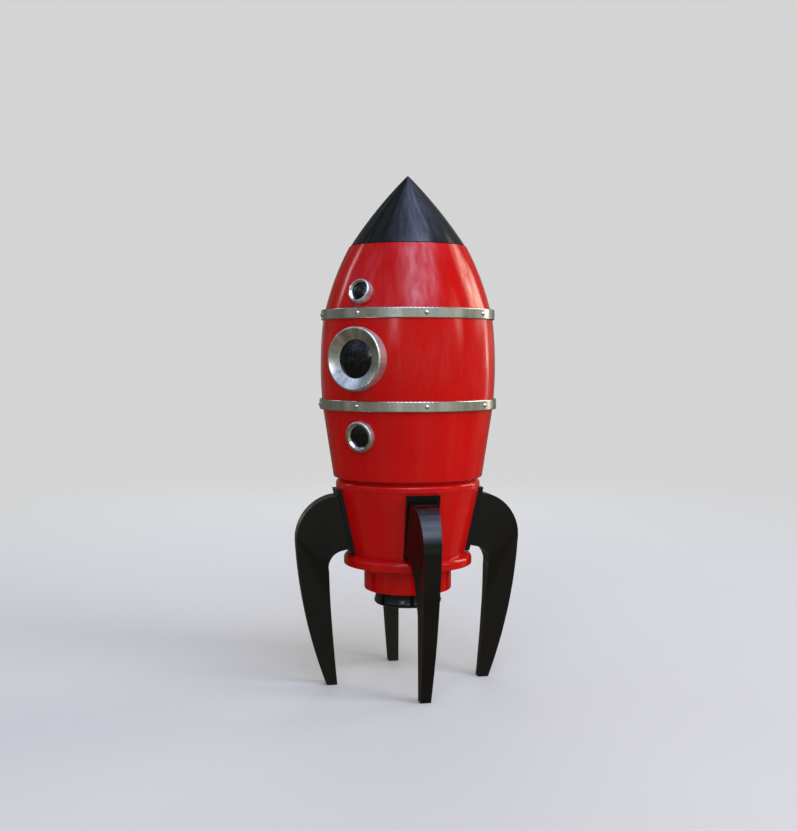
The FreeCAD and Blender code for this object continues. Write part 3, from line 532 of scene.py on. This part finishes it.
def make_floor():
    """A pale floor that fades into the backdrop far from the rocket."""
    bpy.ops.mesh.primitive_plane_add(size=FLOOR_SIZE, location=(0, 0, 0))
    floor = bpy.context.object
    floor.name = "floor"
    s = Surface("floor")
    cloud = s.noise(s.place, FLOOR_CELLS, detail=4.0)
    s.feed("Base Color", s.mix(cloud, FLOOR_DARK, FLOOR_LIGHT))
    s.set(Roughness=1.0, Specular_IOR_Level=0.0)
    far = s.node("ShaderNodeEmission")
    far.inputs["Color"].default_value = BACKDROP
    fade = s.node("ShaderNodeMixShader")
    x, y = s.split(s.place)[:2]
    s.link(s.band(s.from_axis(x, y), FADE_START, FADE_END, smooth=True), fade.inputs[0])
    s.link(s.shader.outputs[0], fade.inputs[1])
    s.link(far.outputs[0], fade.inputs[2])
    s.link(fade.outputs[0], s.tree.nodes["Material Output"].inputs["Surface"])
    dress(floor, s.material)
    floor.visible_glossy = False


def around(azimuth, distance, height):
    """A point at an azimuth and a level distance from the rocket's axis."""
    a = math.radians(azimuth)
    return Vector((math.sin(a) * distance, -math.cos(a) * distance, height))


def soft_lamp(name, azimuth, distance, height, width, power, colour):
    """A diffuse lamp: the gloss takes its reflections from the studio instead."""
    data = bpy.data.lights.new(name, "AREA")
    data.shape = "RECTANGLE"
    data.size = width
    data.size_y = LAMP_TALL
    data.energy = power
    data.color = colour
    lamp = bpy.data.objects.new(name, data)
    bpy.context.scene.collection.objects.link(lamp)
    lamp.location = around(azimuth, distance, height)
    lamp.rotation_euler = (LAMP_AIM - lamp.location).to_track_quat("-Z", "Y").to_euler()
    lamp.visible_glossy = False
    lamp.visible_camera = False


def panel(w, direction, azimuth, elevation, half_width, half_height, soft, radiance):
    """The radiance of one soft-edged rectangle among the directions round the rocket."""
    local = w.turned(direction, "Z", math.radians(90 - azimuth))
    local = w.turned(local, "Y", math.radians(elevation))
    ahead, across, up = w.split(local)
    mask = w.math("GREATER_THAN", ahead, 0.0)
    for offset, half in ((across, half_width), (up, half_height)):
        edge = math.sin(math.radians(half))
        distance = w.math("ABSOLUTE", offset)
        inside = w.band(distance, edge * (1 - soft), edge * (1 + soft), 1.0, 0.0, smooth=True)
        mask = w.math("MULTIPLY", mask, inside)
    return w.scaled(radiance, mask)


def surroundings(w, direction):
    """The studio between the panels: a colour by height, brighter towards the lit side."""
    ramp = w.node("ShaderNodeValToRGB")
    w.link(w.band(w.split(direction)[2], -1.0, 1.0), ramp.inputs["Fac"])
    elements = ramp.color_ramp.elements
    for index, (at, colour) in enumerate(SURROUNDINGS):
        element = elements[index] if index < 2 else elements.new(at)
        element.position = at
        element.color = colour + (1,)
    toward_lit = w.split(w.turned(direction, "Z", math.radians(90 - LIT_SIDE)))[0]
    return w.scaled(ramp.outputs["Color"], w.band(toward_lit, -1.0, 1.0, DARK_SIDE, 1.0))


def make_world():
    """A plain backdrop for the camera, an even fill, and a soft studio for the gloss."""
    world = bpy.data.worlds.new("studio")
    world.use_nodes = True
    w = Nodes(world.node_tree)
    direction = w.coords.outputs["Generated"]
    glow = surroundings(w, direction)
    for settings in PANELS:
        glow = w.added(glow, panel(w, direction, *settings))
    slow = w.noise(direction, SLOW_MOTTLE, detail=2.0)
    fine = w.noise(direction, FINE_MOTTLE, detail=5.0, roughness=0.7)
    mottle = w.math(
        "MULTIPLY", w.band(slow, 0.32, 0.68, 0.45, 1.55), w.band(fine, 0.38, 0.62, 0.35, 1.65),
    )
    gloss = w.scaled(glow, mottle)
    path = w.node("ShaderNodeLightPath")
    studio = w.tree.nodes["Background"]
    w.link(w.mix(path.outputs["Is Diffuse Ray"], gloss, FILL), studio.inputs["Color"])
    backdrop = w.node("ShaderNodeBackground")
    backdrop.inputs["Color"].default_value = BACKDROP
    choose = w.node("ShaderNodeMixShader")
    w.link(path.outputs["Is Camera Ray"], choose.inputs[0])
    w.link(studio.outputs[0], choose.inputs[1])
    w.link(backdrop.outputs[0], choose.inputs[2])
    w.link(choose.outputs[0], w.tree.nodes["World Output"].inputs["Surface"])
    bpy.context.scene.world = world


def make_camera():
    data = bpy.data.cameras.new("camera")
    data.lens = CAMERA_LENS
    data.sensor_width = SENSOR
    camera = bpy.data.objects.new("camera", data)
    bpy.context.scene.collection.objects.link(camera)
    a = CAMERA_AZIMUTH
    away = Vector((math.sin(a), -math.cos(a), 0))
    right = Vector((math.cos(a), math.sin(a), 0))
    camera.location = away * CAMERA_DISTANCE + right * CAMERA_SIDE + Vector((0, 0, CAMERA_HEIGHT))
    camera.rotation_euler = (math.pi / 2 - CAMERA_PITCH, 0, a)
    bpy.context.scene.camera = camera


make_floor()
make_world()
make_camera()
for lamp_settings in LAMPS:
    soft_lamp(*lamp_settings)
bpy.context.scene.view_settings.view_transform = "Standard"
